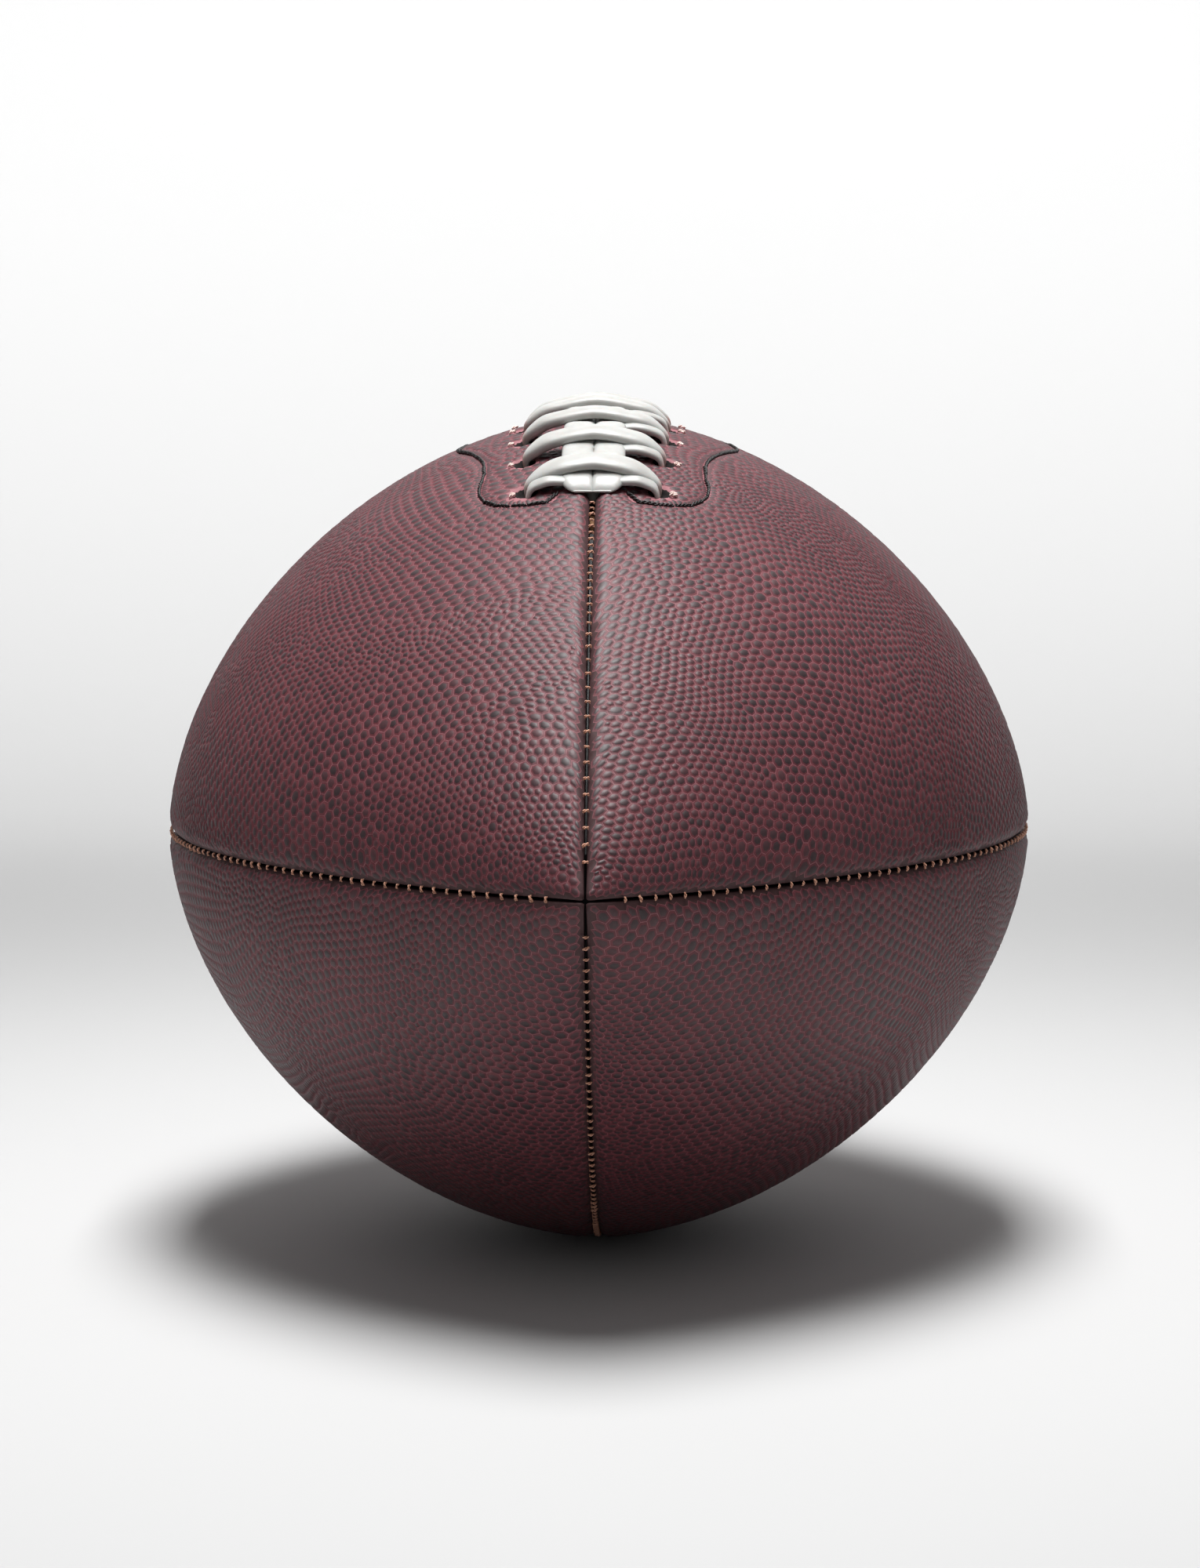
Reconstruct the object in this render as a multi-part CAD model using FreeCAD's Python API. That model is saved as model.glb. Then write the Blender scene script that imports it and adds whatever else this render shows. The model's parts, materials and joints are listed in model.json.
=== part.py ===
import FreeCAD
import Part
import math
import os

os.makedirs("parts", exist_ok=True)

# A four-panel gridiron football with a laced top seam.
# The long axis runs along Y, the laces are on top (+Z) and X is to the side.
# Shapes are drawn about the ball's centre, then lifted so that the origin is
# the point on the bottom seam that the ball rests on. All sizes are in mm.

# Outer skin: the outline along Y, and the rounded-diamond cross-section.
half_length = 142.0
side_radius = 89.7
top_radius = 85.5
outline_power = 2.0
outline_blunt = 0.807
section_power = 1.76
tip_trim = 0.30

# Panels and their turned-in seams.
leather_thick = 1.9
seam_gap = 0.30
seam_roll = 2.2
seam_turn = 4.5
turn_flat = 1.6
turn_end = 6.0
layer_gap = 0.15

# Inner layers.
lining_thick = 0.9
lining_margin = 7.0
lining_end = 12.0
bladder_thick = 0.9
bladder_end = 9.0

# Laced opening.
lace_count = 8
lace_pitch = 15.2
lace_centre = -6.0
hole_radius = 2.2
hole_half_mid = 14.8
hole_half_end = 13.2
slit_half_width = 1.9
slit_past_hole = 1.8
facing_inner = 6.4
facing_outer = 23.5
facing_thick = 1.2
facing_past = 8.0
tongue_half_width = 21.0
tongue_thick = 1.0
tongue_past = 6.5

# Lace.
bar_width = 5.8
bar_thick = 2.7
bar_end_width = 3.1
bar_end_thick = 3.1
spine_half = 3.2
spine_width = 6.0
spine_thick = 1.9
spine_past = 2.6
run_width = 3.4
run_thick = 1.3
tuck_width = 3.2
tuck_length = 4.4

# Stitching.
seam_pitch = 3.7
seam_thread_radius = 0.30
seam_thread_depth = 0.50
facing_thread_radius = 0.42
facing_stitch = 3.4
facing_stitch_gap = 0.7
tack_radius = 0.35
tack_length = 2.8
tack_out = 3.0

# Inflation valve, midway along the lower panel on the -X side.
needle_bore = 1.0
core_radius = 1.75
core_length = 5.0
neck_radius = 2.8
valve_sink = 0.35
valve_slip = 0.15
patch_radius = 7.0
patch_thick = 0.9
flange_radius = 6.0
flange_thick = 1.0

# Sizes that follow from the ones above.
half_gap = seam_gap / 2.0
lining_depth = leather_thick + layer_gap
facing_depth = leather_thick + layer_gap
run_depth = facing_depth + facing_thick + layer_gap
tongue_depth = max(run_depth + run_thick, seam_turn) + 2.0 * layer_gap
bladder_depth = seam_turn + 0.25
lace_dip = tongue_depth + tongue_thick + 2.0 * layer_gap - bladder_depth
half_lace = 0.5 * (lace_count - 1) * lace_pitch
slit_half = half_lace + slit_past_hole
facing_half = half_lace + facing_past
tongue_half = half_lace + tongue_past
lace_ys = [lace_centre + (i - 0.5 * (lace_count - 1)) * lace_pitch for i in range(lace_count)]


def vec(x, y, z):
    return FreeCAD.Vector(x, y, z)


def swell(y):
    return (1.0 - abs(y / half_length) ** outline_power) ** outline_blunt


def steep(y):
    # Length of the skin's normal when it is measured in a plane of constant y.
    t = abs(y) / half_length
    rise = outline_power * t ** (outline_power - 1.0) / half_length
    fall = outline_blunt * (1.0 - t ** outline_power) ** (outline_blunt - 1.0)
    return math.sqrt(1.0 + (top_radius * rise * fall) ** 2)


def ease(t):
    t = min(1.0, max(0.0, t))
    return t * t * (3.0 - 2.0 * t)


def over(x, a, b):
    # Height of the cross-section, with half-width a and half-height b, at x.
    return b * max(0.0, 1.0 - (abs(x) / a) ** section_power) ** (1.0 / section_power)


roll_top = half_gap + seam_roll
bottom = -over(roll_top, side_radius, top_radius)


def turn_extra(u):
    # How much deeper the leather goes at a distance u from the seam.
    return (seam_turn - leather_thick) * (1.0 - ease((u - turn_flat) / (turn_end - turn_flat)))


def shrink(depth, y):
    # Scale about the axis that moves the skin in by a depth.
    raw = 1.0 - depth * steep(y) / (top_radius * swell(y))
    least = 0.25
    return 0.5 * (raw + least + math.sqrt((raw - least) ** 2 + 0.0006))


def skin_z(x, y, depth):
    # Height of the top of the ball at x and y, a depth below the leather.
    f = shrink(depth, y)
    return over(x, side_radius * swell(y) * f, top_radius * swell(y) * f)


def stations(low, high, count):
    # Planes of constant y, closer together towards both ends.
    mid = 0.5 * (low + high)
    half = 0.5 * (high - low)
    return [mid - half * math.cos(math.pi * i / (count - 1)) for i in range(count)]


def spread(points):
    # Parameters that grow with the distance along a row of points.
    out = [0.0]
    for a, b in zip(points, points[1:]):
        out.append(out[-1] + math.sqrt(a.distanceToPoint(b)))
    return [v / out[-1] for v in out]


def curve(points, params):
    line = Part.BSplineCurve()
    line.interpolate(Points=points, Parameters=params)
    return line.toShape()


def ring(points):
    line = Part.BSplineCurve()
    line.interpolate(Points=points, PeriodicFlag=True)
    return Part.Wire([line.toShape()])


def loft(wires):
    body = Part.makeLoft(wires, True, False)
    if body.Volume < 0:
        body.reverse()
    return body


def outer_row(y):
    # Quarter outline of a panel, from the top seam to the side seam.
    a = side_radius * swell(y)
    b = top_radius * swell(y)
    roll = min(seam_roll, 0.30 * b)
    pts = []
    for deg in (0.0, 30.0, 60.0):
        x = half_gap + roll * (1.0 - math.cos(math.radians(deg)))
        drop = roll * (1.0 - math.sin(math.radians(deg)))
        pts.append(vec(x, y, over(x, a, b) - drop))
    x1 = half_gap + roll
    z1 = over(x1, a, b)
    z2 = half_gap + roll
    x2 = over(z2, b, a)
    q1 = math.atan2(x1 / a, z1 / b)
    q2 = math.atan2(x2 / a, z2 / b)
    for i in range(15):
        q = q1 + (q2 - q1) * i / 14.0
        r = (math.cos(q) ** section_power + math.sin(q) ** section_power) ** (-1.0 / section_power)
        pts.append(vec(a * r * math.sin(q), y, b * r * math.cos(q)))
    for deg in (60.0, 30.0, 0.0):
        z = half_gap + roll * (1.0 - math.cos(math.radians(deg)))
        drop = roll * (1.0 - math.sin(math.radians(deg)))
        pts.append(vec(over(z, b, a) - drop, y, z))
    return pts


def inner_row(y):
    # Quarter outline of the panel's inside, with its turned-in edges.
    a = side_radius * swell(y)
    b = top_radius * swell(y)
    near = min(1.0, b / 40.0)
    marks = [near * u for u in (0.0, 1.0, 2.2, 3.2, 4.2, 5.2, 6.4, 8.5)]
    base = [(half_gap + u, over(half_gap + u, a, b)) for u in marks]
    x1, z1 = base[-1]
    z2 = half_gap + marks[-1]
    x2 = over(z2, b, a)
    q1 = math.atan2(x1 / a, z1 / b)
    q2 = math.atan2(x2 / a, z2 / b)
    for i in range(1, 10):
        q = q1 + (q2 - q1) * i / 10.0
        r = (math.cos(q) ** section_power + math.sin(q) ** section_power) ** (-1.0 / section_power)
        base.append((a * r * math.sin(q), b * r * math.cos(q)))
    for u in reversed(marks):
        base.append((over(half_gap + u, b, a), half_gap + u))
    pts = []
    for x, z in base:
        extra = max(turn_extra(x - half_gap), turn_extra(z - half_gap))
        f = shrink(leather_thick + extra, y)
        pts.append(vec(half_gap + f * (x - half_gap), y, half_gap + f * (z - half_gap)))
    return pts


outer_params = spread(outer_row(0.0))
inner_params = spread(inner_row(0.0))


def panel_wire(y):
    out = outer_row(y)
    inn = inner_row(y)
    side = Part.makeLine(out[-1], inn[-1])
    back = curve(inn[::-1], [1.0 - v for v in reversed(inner_params)])
    up = Part.makeLine(inn[0], out[0])
    return Part.Wire([curve(out, outer_params), side, back, up])


def sheet_rows(y, depth, thick, x_low, z_low):
    # Outer and inner rows of a sheet inside a panel, trimmed at both seams.
    a = side_radius * swell(y)
    b = top_radius * swell(y)
    q1 = math.atan2(x_low / a, over(x_low, a, b) / b)
    q2 = math.atan2(over(z_low, b, a) / a, z_low / b)
    rows = []
    for d in (depth, depth + thick):
        f = shrink(d, y)
        row = []
        for i in range(13):
            q = q1 + (q2 - q1) * i / 12.0
            r = (math.cos(q) ** section_power + math.sin(q) ** section_power) ** (-1.0 / section_power)
            row.append(vec(f * a * r * math.sin(q), y, f * b * r * math.cos(q)))
        rows.append(row)
    return rows


def sheet_wire(y, depth, thick, x_low, z_low):
    out, inn = sheet_rows(y, depth, thick, x_low, z_low)
    even = [i / 12.0 for i in range(13)]
    side = Part.makeLine(out[-1], inn[-1])
    up = Part.makeLine(inn[0], out[0])
    return Part.Wire([curve(out, even), side, curve(inn[::-1], even), up])


def strip_wire(y, depth, thick, x_low, x_high):
    # Cross-section of a strip that lies under the top of the ball.
    xs = [x_low + (x_high - x_low) * i / 8.0 for i in range(9)]
    even = [i / 8.0 for i in range(9)]
    out = [vec(x, y, skin_z(x, y, depth)) for x in xs]
    inn = [vec(x, y, skin_z(x, y, depth + thick)) for x in xs]
    side = Part.makeLine(out[-1], inn[-1])
    up = Part.makeLine(inn[0], out[0])
    return Part.Wire([curve(out, even), side, curve(inn[::-1], even), up])


def hole_half(y):
    share = ((y - lace_centre) / half_lace) ** 2
    return hole_half_mid + (hole_half_end - hole_half_mid) * share


def top_normal(x, y):
    # Outward normal of the ball's top at x and y.
    step = 0.5
    dx = (skin_z(x + step, y, 0.0) - skin_z(x - step, y, 0.0)) / (2.0 * step)
    dy = (skin_z(x, y + step, 0.0) - skin_z(x, y - step, 0.0)) / (2.0 * step)
    n = vec(-dx, -dy, 1.0)
    return n.normalize()


def hole_axis(x, y):
    # The lace holes lean with the skin across the ball, not along it.
    n = top_normal(x, y)
    n.y = 0.0
    return n.normalize()


def lace_holes():
    tools = []
    for y in lace_ys:
        for side in (-1.0, 1.0):
            x = side * hole_half(y)
            n = hole_axis(x, y)
            start = vec(x, y, skin_z(x, y, 0.0)) + n * 6.0
            tools.append(Part.makeCylinder(hole_radius, 6.0 + run_depth + 1.0, start, n * -1.0))
    return tools


def slit_tool():
    length = 2.0 * slit_half
    tool = Part.makeBox(2.0 * slit_half_width, length, 40.0, vec(-slit_half_width, lace_centre - slit_half, 60.0))
    edges = [e for e in tool.Edges if abs(e.Vertexes[0].Z - e.Vertexes[-1].Z) > 30.0]
    return tool.makeFillet(slit_half_width - 0.05, edges)


def valve_place():
    # Local +Z leaves the ball, and the local origin is on the leather.
    share = 2.0 ** (-1.0 / section_power)
    point = vec(-side_radius * share, 0.0, -top_radius * share)
    normal = vec(-1.0 / side_radius, 0.0, -1.0 / top_radius)
    normal.normalize()
    turn = FreeCAD.Rotation(vec(0.0, 0.0, 1.0), normal)
    return FreeCAD.Placement(point, turn)


def placed(shape):
    out = shape.copy()
    out.Placement = valve_place()
    return out


def save(name, shape):
    solids = shape.Solids
    body = solids[0] if len(solids) == 1 else Part.makeCompound(solids)
    body = body.copy()
    body.translate(vec(0.0, 0.0, -bottom))
    body.exportStep("parts/" + name + ".step")
    box = body.BoundBox
    print(name, len(solids), "solids", body.isValid(), round(body.Volume, 1),
          [round(v, 1) for v in (box.XMin, box.XMax, box.YMin, box.YMax, box.ZMin, box.ZMax)])


def mirrored(shape, flip_x, flip_z):
    out = shape
    if flip_x:
        out = out.mirror(vec(0, 0, 0), vec(1, 0, 0))
    if flip_z:
        out = out.mirror(vec(0, 0, 0), vec(0, 0, 1))
    return out


# Leather panels.
panel_ys = stations(-half_length + tip_trim, half_length - tip_trim, 33)
quarter = loft([panel_wire(y) for y in panel_ys])
holes = lace_holes()
slit = slit_tool()
upper_tools = Part.makeCompound(holes + [slit])
valve_hole = placed(Part.makeCylinder(neck_radius + valve_slip, 20.0, vec(0, 0, -12.0)))
save("panel_upper_right", quarter.cut(upper_tools))
save("panel_upper_left", mirrored(quarter, True, False).cut(upper_tools))
save("panel_lower_right", mirrored(quarter, False, True))
save("panel_lower_left", mirrored(quarter, True, True).cut(valve_hole))

# Fabric linings, one behind each panel.
lining_ys = stations(-half_length + lining_end, half_length - lining_end, 25)
one_lining = loft([sheet_wire(y, lining_depth, lining_thick, lining_margin, lining_margin) for y in lining_ys])
window = Part.makeBox(facing_outer + 1.0, 2.0 * facing_half + 2.0, 60.0,
                      vec(0.0, lace_centre - facing_half - 1.0, 0.5 * top_radius))
high_lining = one_lining.cut(window)
save("lining_upper_right", high_lining)
save("lining_upper_left", mirrored(high_lining, True, False))
save("lining_lower_right", mirrored(one_lining, False, True))
save("lining_lower_left", mirrored(one_lining, True, True).cut(valve_hole))

# Leather facings that back the lace holes.
facing_ys = stations(lace_centre - facing_half, lace_centre + facing_half, 13)
facing_blank = loft([strip_wire(y, facing_depth, facing_thick, facing_inner, facing_outer) for y in facing_ys])
lace_hole_tools = Part.makeCompound(holes)
save("facing_right", facing_blank.cut(lace_hole_tools))
save("facing_left", mirrored(facing_blank, True, False).cut(lace_hole_tools))

# Tongue between the laces and the bladder.
tongue_ys = stations(lace_centre - tongue_half, lace_centre + tongue_half, 13)
save("tongue", loft([strip_wire(y, tongue_depth, tongue_thick, -tongue_half_width, tongue_half_width)
                     for y in tongue_ys]))


def bladder_ring(y, depth):
    # Closed outline of the bladder, dented where it lies under the tongue.
    along = ease((tongue_half + 18.0 - abs(y - lace_centre)) / 14.0)
    pts = []
    for i in range(60):
        t = math.radians(6.0 * i + 3.0)
        c = abs(math.cos(t))
        s = abs(math.sin(t))
        r = (c ** section_power + s ** section_power) ** (-1.0 / section_power)
        x = side_radius * swell(y) * r * math.cos(t)
        across = ease((tongue_half_width + 18.0 - abs(x)) / 14.0) if math.sin(t) > 0 else 0.0
        f = shrink(depth + lace_dip * along * across, y)
        pts.append(vec(f * x, y, f * top_radius * swell(y) * r * math.sin(t)))
    return ring(pts)


bladder_ys = stations(-half_length + bladder_end, half_length - bladder_end, 37)
cavity_ys = bladder_ys[2:-2]
bladder_skin = loft([bladder_ring(y, bladder_depth) for y in bladder_ys])
bladder_room = loft([bladder_ring(y, bladder_depth + bladder_thick) for y in cavity_ys])
save("bladder", bladder_skin.cut(bladder_room).cut(valve_hole))


def turned(points):
    # A solid of revolution about local Z from a closed outline of (r, z).
    line = Part.makePolygon([vec(r, 0.0, z) for r, z in points + points[:1]])
    return Part.Face(line).revolve(vec(0, 0, 0), vec(0, 0, 1), 360.0)


# Valve: a rubber neck with a flange inside the bladder, a core and a patch.
curve_drop = patch_radius ** 2 / (2.0 * top_radius)
patch_top = -(lining_depth + lining_thick + curve_drop + layer_gap)
flange_top = -(bladder_depth + bladder_thick + flange_radius ** 2 / (2.0 * top_radius) + layer_gap)
flange_low = flange_top - flange_thick
core_room = core_radius + 0.03
core_low = -valve_sink - core_length - 0.05
neck_wide = [(core_room, -valve_sink), (neck_radius, -valve_sink), (neck_radius, flange_top),
             (flange_radius, flange_top), (flange_radius, flange_low), (needle_bore + 0.3, flange_low),
             (needle_bore + 0.3, core_low), (core_room, core_low)]
save("valve_neck", placed(turned(neck_wide)))
core_top = -valve_sink - 0.05
save("valve_core", placed(turned([(needle_bore, core_top), (core_radius, core_top),
                                  (core_radius, core_top - core_length), (needle_bore, core_top - core_length)])))
patch_in = neck_radius + valve_slip
patch_low = patch_top - patch_thick
save("valve_patch", placed(turned([(patch_in, patch_top), (patch_radius, patch_top),
                                   (patch_radius, patch_low), (patch_in, patch_low)])))


def lace_section(centre, along, up, width, thick):
    # Closed outline of the lace: flat underneath and domed on top.
    pts = []
    for i in range(16):
        t = 2.0 * math.pi * i / 16.0
        c = math.cos(t)
        s = math.sin(t)
        a = math.copysign(abs(c) ** 0.80, c) * 0.5 * width
        b = math.copysign(abs(s) ** (0.92 if s > 0 else 0.60), s) * 0.5 * thick
        pts.append(centre + along * a + up * b)
    return ring(pts)


def bar(y):
    # One cross-over: up out of a hole, over the spine and down the other hole.
    half = hole_half(y)
    seat = skin_z(spine_half, y, 0.0) + spine_thick + 3.2 * layer_gap
    crown = seat + 0.5 * bar_thick
    hole_top = skin_z(half, y, 0.0)
    low = skin_z(half, y, run_depth + 0.3 * run_thick)
    tilt = hole_axis(half, y)
    reach = spine_half + 0.5 * spine_width
    path = [(half + tilt.x * (low - hole_top), low, 90.0, bar_end_width, bar_end_thick),
            (half - tilt.x * 2.4, hole_top - 2.4, 90.0, bar_end_width, bar_end_thick),
            (half - tilt.x * 1.0, hole_top - 1.0, 88.0, bar_end_width, bar_end_thick),
            (half - 0.05, hole_top + 0.9, 66.0, 3.7, 2.7),
            (0.5 * (half + reach) + 0.9, 0.40 * (hole_top + 1.6) + 0.60 * crown, 32.0, 5.0, 2.4),
            (reach - 0.3, crown - 0.05, 10.0, bar_width - 0.1, bar_thick - 0.3),
            (0.45 * reach, crown + 0.05, 3.0, bar_width, bar_thick - 0.1)]
    rows = [(-x, z, -d, w, t) for x, z, d, w, t in path]
    rows.append((0.0, crown + 0.05, 0.0, bar_width, bar_thick))
    rows += path[::-1]
    lean = 0.5 * (skin_z(0.0, y + 1.0, 0.0) - skin_z(0.0, y - 1.0, 0.0))
    along = vec(0.0, 1.0, lean)
    along.normalize()
    wires = []
    for x, z, d, w, t in rows:
        a = math.radians(d)
        up = vec(math.sin(a), -lean * math.cos(a), math.cos(a))
        up.normalize()
        wires.append(lace_section(vec(x, y, z), along, up, w, t))
    return loft(wires)


save("lace_crossbars", Part.makeCompound([bar(y) for y in lace_ys]))


def spine(side):
    # One of the two strands that run along the slit, under the crossbars.
    first = lace_ys[0] - spine_past
    last = lace_ys[-1] + spine_past
    wires = []
    for i in range(13):
        y = first + (last - first) * i / 12.0
        end = min(1.0, 0.55 + 0.45 * min(y - first, last - y) / 4.0)
        base = skin_z(roll_top, y, 0.0) + layer_gap
        thick = spine_thick * end
        wires.append(lace_section(vec(side * spine_half, y, base + 0.5 * thick), vec(1, 0, 0), vec(0, 0, 1),
                                  spine_width * (0.8 + 0.2 * end), thick))
    return loft(wires)


save("lace_spine", Part.makeCompound([spine(-1.0), spine(1.0)]))


def run(y1, y2, side):
    # The lace inside the ball, from one hole to the next on the same side.
    y = 0.5 * (y1 + y2)
    x = side * 0.5 * (hole_half(y1) + hole_half(y2))
    n = top_normal(x, y)
    rise = skin_z(x, y2, run_depth) - skin_z(x, y1, run_depth)
    length = y2 - y1 - bar_end_width - 0.5
    block = Part.makeBox(run_width, length, run_thick, vec(-0.5 * run_width, -0.5 * length, -run_thick))
    lift = vec(x, y, skin_z(x, y, run_depth)) - n * 0.25
    across = vec(n.z, 0.0, -n.x)
    across.normalize()
    block.Placement = FreeCAD.Placement(lift, FreeCAD.Rotation(across, vec(0, y2 - y1, rise), n, "ZXY"))
    return block


runs = []
for y1, y2 in zip(lace_ys, lace_ys[1:]):
    runs.append(run(y1, y2, -1.0))
    runs.append(run(y1, y2, 1.0))
save("lace_inner_runs", Part.makeCompound(runs))

# The lace's two ends, tucked down through the slit.
tucks = []
for y in (lace_ys[0] + 0.6, lace_ys[-1] - 0.6):
    reach = 0.5 * tuck_length
    low = max(skin_z(0.0, y - reach, tongue_depth), skin_z(0.0, y + reach, tongue_depth)) + layer_gap
    high = min(skin_z(roll_top, y - reach, 0.0), skin_z(roll_top, y + reach, 0.0)) + 0.5 * layer_gap
    post = Part.makeBox(tuck_width, tuck_length, high - low, vec(-0.5 * tuck_width, y - 0.5 * tuck_length, low))
    tall = [e for e in post.Edges if abs(e.Vertexes[0].Z - e.Vertexes[-1].Z) > 0.5]
    tucks.append(post.makeFillet(0.45 * tuck_width, tall))
save("lace_ends", Part.makeCompound(tucks))


def rod(a, b, radius):
    return Part.makeCylinder(radius, a.distanceToPoint(b), a, b - a)


def seam_steps(low, high, zone):
    # Stitch positions an even distance apart along the seam's outline.
    out = []
    y = low
    while y < high:
        if zone is None or abs(y - lace_centre) > zone:
            out.append(y)
        y += seam_pitch / steep(y)
    return out


def seam_rods(which):
    # Short threads that bridge the groove, one after another.
    zone = slit_half + 2.0 if which == "top" else None
    drop = seam_thread_depth + seam_thread_radius
    rest = seam_roll - seam_thread_depth - 2.0 * seam_thread_radius
    reach = half_gap + seam_roll - math.sqrt(seam_roll ** 2 - rest ** 2) - 0.07
    rods = []
    for y in seam_steps(-half_length + 4.0, half_length - 4.0, zone):
        b = (top_radius if which in ("top", "bottom") else side_radius) * swell(y)
        if which == "top":
            rods.append(rod(vec(-reach, y, b - drop), vec(reach, y, b - drop), seam_thread_radius))
        elif which == "bottom":
            rods.append(rod(vec(-reach, y, drop - b), vec(reach, y, drop - b), seam_thread_radius))
        else:
            x = b - drop if which == "right" else drop - b
            rods.append(rod(vec(x, y, -reach), vec(x, y, reach), seam_thread_radius))
    return Part.makeCompound(rods)


for which in ("top", "bottom", "left", "right"):
    save("seam_thread_" + which, seam_rods(which))


def outline_path(side):
    # The black row of stitching around one side of the laces.
    ends = [(5.2, half_lace + 3.4), (7.2, half_lace + 7.0), (13.0, half_lace + 5.6), (17.4, half_lace + 1.0),
            (20.0, half_lace - 6.0), (21.2, half_lace - 16.0), (22.6, half_lace - 28.0), (24.4, half_lace - 42.0)]
    near = [(x, -t) for x, t in ends]
    far = [(x, t) for x, t in reversed(ends)]
    pts = [vec(side * x, lace_centre + t, 0.0) for x, t in near + [(25.0, 0.0)] + far]
    line = Part.BSplineCurve()
    line.interpolate(Points=pts)
    return line


def facing_stitches(side):
    line = outline_path(side)
    step = facing_stitch + facing_stitch_gap
    flat = line.toShape()
    count = int(flat.Length / step)
    spots = flat.discretize(Number=2 * count + 1)
    rods = []
    for i in range(0, 2 * count - 1, 2):
        ends = []
        a = spots[i]
        b = spots[i + 2]
        d = b - a
        d.normalize()
        for p in (a + d * 0.5 * facing_stitch_gap, b - d * 0.5 * facing_stitch_gap):
            n = top_normal(p.x, p.y)
            ends.append(vec(p.x, p.y, skin_z(p.x, p.y, 0.0)) + n * (facing_thread_radius + 0.06))
        rods.append(rod(ends[0], ends[1], facing_thread_radius))
    return Part.makeCompound(rods)


save("facing_stitch_right", facing_stitches(1.0))
save("facing_stitch_left", facing_stitches(-1.0))

# Short tacks just outboard of the lace holes.
tacks = []
for y in lace_ys:
    for side in (-1.0, 1.0):
        x = side * (hole_half(y) + tack_out)
        ends = []
        for step in (-0.5, 0.5):
            p = vec(x, y + step * tack_length, 0.0)
            n = top_normal(p.x, p.y)
            ends.append(vec(p.x, p.y, skin_z(p.x, p.y, 0.0)) + n * (tack_radius + 0.05))
        tacks.append(rod(ends[0], ends[1], tack_radius))
save("lace_tacks", Part.makeCompound(tacks))
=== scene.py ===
import bpy
import bmesh
import json
import math
import numpy as np
from mathutils import Matrix, Vector
from mathutils.geometry import delaunay_2d_cdt


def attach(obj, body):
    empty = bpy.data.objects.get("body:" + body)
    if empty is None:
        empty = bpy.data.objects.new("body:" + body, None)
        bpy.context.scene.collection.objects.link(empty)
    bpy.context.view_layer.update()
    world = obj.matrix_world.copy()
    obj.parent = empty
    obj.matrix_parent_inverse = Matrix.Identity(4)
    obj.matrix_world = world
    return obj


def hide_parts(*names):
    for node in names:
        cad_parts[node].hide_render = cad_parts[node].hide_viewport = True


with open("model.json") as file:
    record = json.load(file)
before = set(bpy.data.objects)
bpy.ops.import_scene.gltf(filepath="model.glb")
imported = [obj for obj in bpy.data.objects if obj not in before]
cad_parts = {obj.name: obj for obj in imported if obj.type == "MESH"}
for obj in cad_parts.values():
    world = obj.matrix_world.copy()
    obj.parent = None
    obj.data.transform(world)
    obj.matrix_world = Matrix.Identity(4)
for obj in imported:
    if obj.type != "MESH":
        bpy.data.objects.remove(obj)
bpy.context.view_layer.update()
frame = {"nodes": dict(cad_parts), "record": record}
print("frame loaded:", len(frame["nodes"]), "CAD nodes")

# The ball's shape, the same rule as the CAD skin, in metres
ball = {
    "halfLength": 0.1420,
    "sideRadius": 0.0897,
    "topRadius": 0.0855,
    "outlineBlunt": 0.807,
    "sectionPower": 1.76,
    "tipTrim": 0.0003,
    "halfGap": 0.00015,
    "lipGap": 0.00028,
    "flangeGap": 0.00004,
    "seamRoll": 0.0022,
    "seamTurn": 0.0045,
    "seamBack": 0.0055,
    "seamBackFrom": 0.040,
    "leather": 0.0019,
}
ball["centreZ"] = 0.08542
laces = {
    "count": 8,
    "pitch": 0.0152,
    "centre": -0.0060,
    "holeHalfMid": 0.0148,
    "holeHalfEnd": 0.0132,
    "holeRadius": 0.0022,
    "slitHalfWidth": 0.0019,
    "slitPast": 0.0018,
    "slitEnd": 0.0022,
    "flare": 0.0003,
    "flareLength": 0.036,
}
laces["half"] = 0.5 * (laces["count"] - 1) * laces["pitch"]
laceRows = []
for i in range(laces["count"]):
    laceRows.append(laces["centre"] + (i - 0.5 * (laces["count"] - 1)) * laces["pitch"])


def swell(y):
    # the ball's width at y, as a share of its waist
    return np.maximum(1e-9, 1 - np.abs(y / ball["halfLength"]) ** 2) ** ball["outlineBlunt"]


def swellSlope(y):
    t = np.asarray(y) / ball["halfLength"]
    inside = np.maximum(1e-9, 1 - t ** 2)
    return -2 * ball["outlineBlunt"] * t / ball["halfLength"] * inside ** (ball["outlineBlunt"] - 1)


def over(x, a, b):
    # height of a rounded section of half-sizes a and b, at x
    p = ball["sectionPower"]
    return b * np.maximum(0, 1 - (np.abs(x) / a) ** p) ** (1 / p)


def skinZ(x, y):
    return over(x, ball["sideRadius"] * swell(y), ball["topRadius"] * swell(y))


def skinNormal(p):
    # outward normal of the skin at points given about the ball's centre
    p = np.asarray(p, float)
    power = ball["sectionPower"]
    f = swell(p[..., 1])
    a = ball["sideRadius"] * f
    b = ball["topRadius"] * f
    u = np.abs(p[..., 0]) / a
    w = np.abs(p[..., 2]) / b
    size = u ** power + w ** power
    n = np.stack([np.sign(p[..., 0]) * u ** (power - 1) / a,
                  -size * swellSlope(p[..., 1]) / f,
                  np.sign(p[..., 2]) * w ** (power - 1) / b], -1)
    return n / np.linalg.norm(n, axis=-1, keepdims=True)


def holeHalf(y):
    # how far the lace holes lie from the top seam
    share = ((y - laces["centre"]) / laces["half"]) ** 2
    return laces["holeHalfMid"] + (laces["holeHalfEnd"] - laces["holeHalfMid"]) * share


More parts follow.
